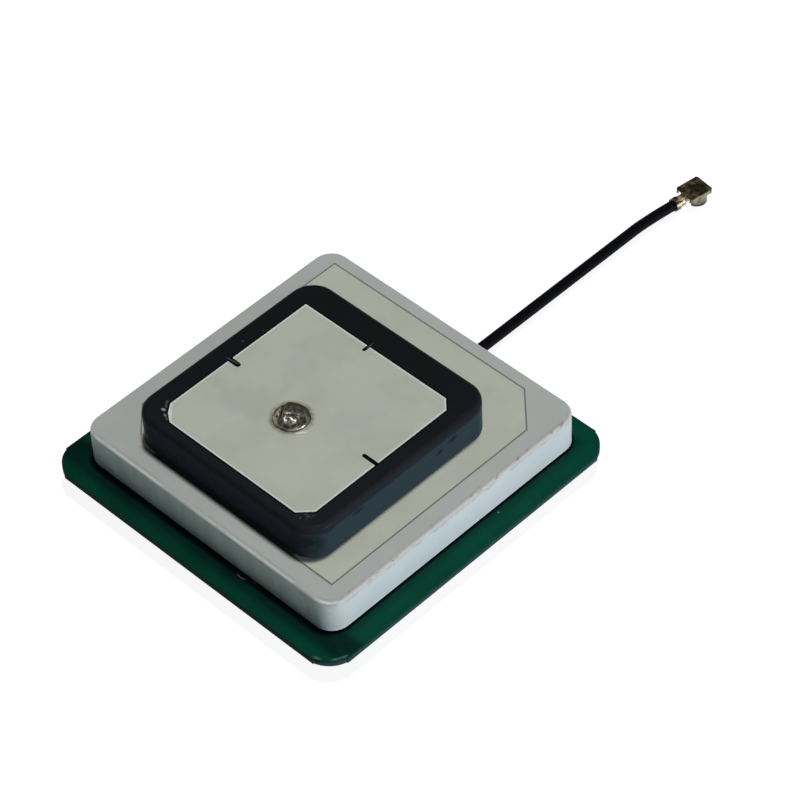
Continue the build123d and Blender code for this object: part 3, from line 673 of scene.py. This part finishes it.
def make_solder_drop():
    rings, spokes = 26, 72
    mesh = bmesh.new()
    top = mesh.verts.new((drop_middle + Vector((0, 0, drop_height(*DROP_SHIFT)))) * MM)
    loops = []
    for ring in range(1, rings + 1):
        share = ring / rings
        loop = []
        for spoke in range(spokes):
            angle = 2 * pi * spoke / spokes
            reach = drop_reach(angle) * share
            x, y = DROP_SHIFT[0] + reach * cos(angle), DROP_SHIFT[1] + reach * sin(angle)
            rise = max(drop_height(x, y), DROP_FLANK * sqrt(1 - share)) if ring < rings else 0
            loop.append(mesh.verts.new((feed + Vector((x, y, rise))) * MM))
        loops.append(loop)
    for spoke in range(spokes):
        after = (spoke + 1) % spokes
        mesh.faces.new((top, loops[0][spoke], loops[0][after]))
        for inner, outer in zip(loops, loops[1:]):
            mesh.faces.new((inner[spoke], outer[spoke], outer[after], inner[after]))
    for face in mesh.faces:
        face.smooth = True
    data = bpy.data.meshes.new("solder_drop")
    mesh.to_mesh(data)
    mesh.free()
    drop = bpy.data.objects.new("solder_drop", data)
    bpy.context.scene.collection.objects.link(drop)
    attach(drop, "root")
    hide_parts("upper_feed_solder")
    return drop


# Light, floor and surroundings
def soft_light(name, azimuth, elevation, size, level, colour):
    """Area light that faces the origin; level is how bright it makes a white face that is turned to it."""
    data = bpy.data.lights.new(name, "AREA")
    data.shape = "RECTANGLE"
    data.size, data.size_y = size
    data.energy = level * pi ** 2 * LIGHT_DISTANCE ** 2
    data.color = colour
    light = bpy.data.objects.new(name, data)
    bpy.context.scene.collection.objects.link(light)
    around, rise = radians(azimuth), radians(elevation)
    away = Vector((cos(around) * cos(rise), sin(around) * cos(rise), sin(rise)))
    light.location = away * LIGHT_DISTANCE
    light.rotation_euler = away.to_track_quat("Z", "Y").to_euler()
    light.visible_camera = False


def seen_rays(nodes):
    """1 for rays that come from the camera, a mirror or glass."""
    kinds = ("Is Camera Ray", "Is Glossy Ray", "Is Transmission Ray")
    return nodes.most(*(nodes.node("LightPath", {}, kind) for kind in kinds))


def make_world():
    """Weak even light, with a pale backdrop for the camera and a darker ceiling in reflections."""
    world = bpy.data.worlds.new("studio")
    bpy.context.scene.world = world
    world.use_nodes = True
    world.node_tree.nodes.remove(world.node_tree.nodes["Background"])
    nodes = Nodes(world.node_tree)
    ambient = nodes.node("Background", {"Color": AMBIENT_COLOUR, "Strength": AMBIENT_LEVEL})
    height = nodes.node("SeparateXYZ", {0: nodes.node("TexCoord", {}, "Generated")}, 2)
    level = nodes.most(nodes.ramp(height, *CEILING_FALL), nodes.node("LightPath", {}, "Is Camera Ray"))
    backdrop = nodes.node("Background", {"Strength": level})
    surface = nodes.node("MixShader", {0: seen_rays(nodes), 1: ambient, 2: backdrop})
    nodes.fill(world.node_tree.nodes["World Output"].inputs["Surface"], surface)


def make_floor():
    """Pale floor that looks white and keeps a soft shadow."""
    data = bpy.data.meshes.new("floor")
    corners = [(side_x * FLOOR_REACH, side_y * FLOOR_REACH, 0)
               for side_x, side_y in ((-1, -1), (1, -1), (1, 1), (-1, 1))]
    data.from_pydata(corners, [], [(0, 1, 2, 3)])
    floor = bpy.data.objects.new("floor", data)
    bpy.context.scene.collection.objects.link(floor)
    material = bpy.data.materials.new("floor_pale")
    material.use_nodes = True
    material.cycles.emission_sampling = "NONE"
    material.node_tree.nodes.remove(material.node_tree.nodes["Principled BSDF"])
    nodes = Nodes(material.node_tree)
    pale = nodes.node("BsdfDiffuse", {"Color": FLOOR_COLOUR})
    seen_pale = nodes.node("BsdfDiffuse", {"Color": SEEN_FLOOR_COLOUR})
    glow = nodes.node("Emission", {"Color": FLOOR_GLOW})
    seen = nodes.node("AddShader", {0: seen_pale, 1: glow})
    surface = nodes.node("MixShader", {0: seen_rays(nodes), 1: pale, 2: seen})
    nodes.fill(material.node_tree.nodes["Material Output"].inputs["Surface"], surface)
    data.materials.append(material)


def dress(material, *pieces):
    """Gives one material to CAD nodes, by name, or to new pieces."""
    for piece in pieces:
        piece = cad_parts[piece] if isinstance(piece, str) else piece
        piece.data.materials.clear()
        piece.data.materials.append(material)


make_camera()
lead = make_lead()
drop = make_solder_drop()

dress(white_ceramic(), "lower_ceramic")
dress(dark_ceramic(), "upper_ceramic")
dress(upper_silver_finish(), "upper_patch_electrode")
dress(lower_silver_finish(), "lower_patch_electrode")
dress(ground_silver_finish(), "lower_ground_electrode", "upper_ground_electrode")
dress(solder_mask(), "circuit_board")
dress(plain_finish("adhesive_sheet", (0.62, 0.60, 0.54), (0.70, 0.68, 0.62), 0.55, 0.6),
      "board_tape", "patch_tape")
dress(metal("brass_tinned", (0.72, 0.70, 0.63), (0.55, 0.47, 0.30), (0.5, 0.7), 1.0, 0.22, 0.38),
      "lower_feed_pin", "upper_feed_pin")
dress(metal("solder_dull", (0.62, 0.61, 0.58), (0.40, 0.38, 0.34), (0.4, 0.65), 1.5, 0.28, 0.45, 0.03),
      "lower_feed_solder", "pin_solder_joints", "shield_solder", "cable_solder_joints")
dress(drop_solder(), drop, "upper_feed_solder")
dress(metal("tinplate_can", (0.66, 0.66, 0.64), (0.47, 0.46, 0.44), (0.42, 0.68), 0.25, 0.24, 0.42),
      "shield_can")
dress(plain_finish("moulding_black", (0.012, 0.012, 0.013), (0.02, 0.02, 0.021), 0.55),
      "amplifier_chips", "regulator_chip")
dress(metal("filter_lid", (0.55, 0.50, 0.40), (0.38, 0.34, 0.28), (0.4, 0.6), 1.5, 0.35, 0.5), "saw_filters")
dress(plain_finish("capacitor_body", (0.28, 0.19, 0.11), (0.34, 0.24, 0.15), 0.5), "chip_capacitors")
dress(plain_finish("inductor_body", (0.05, 0.09, 0.13), (0.08, 0.12, 0.16), 0.45), "chip_inductors")
dress(plain_finish("resistor_body", (0.015, 0.015, 0.016), (0.03, 0.03, 0.03), 0.4), "chip_resistors")
dress(metal("tin_plate", (0.70, 0.69, 0.66), (0.52, 0.50, 0.47), (0.4, 0.65), 1.2, 0.25, 0.4),
      "chip_end_caps", "chip_leads")
dress(jacket(), lead, "cable_jacket")
dress(braid(), "cable_braid")
dress(plain_finish("dielectric_white", (0.72, 0.71, 0.67), (0.78, 0.77, 0.74), 0.35), "cable_dielectric")
dress(metal("core_wire", (0.80, 0.62, 0.48), (0.70, 0.66, 0.58), (0.45, 0.6), 2.0, 0.2, 0.32), "cable_wire")
dress(gold_plate(), "plug_shell", "plug_contact")
dress(plain_finish("plug_moulding", (0.62, 0.60, 0.54), (0.68, 0.66, 0.60), 0.45), "plug_insulator")

make_world()
make_floor()
soft_light("front", **FRONT_LIGHT)
soft_light("top", **TOP_LIGHT)
bpy.context.scene.view_settings.view_transform = "Standard"
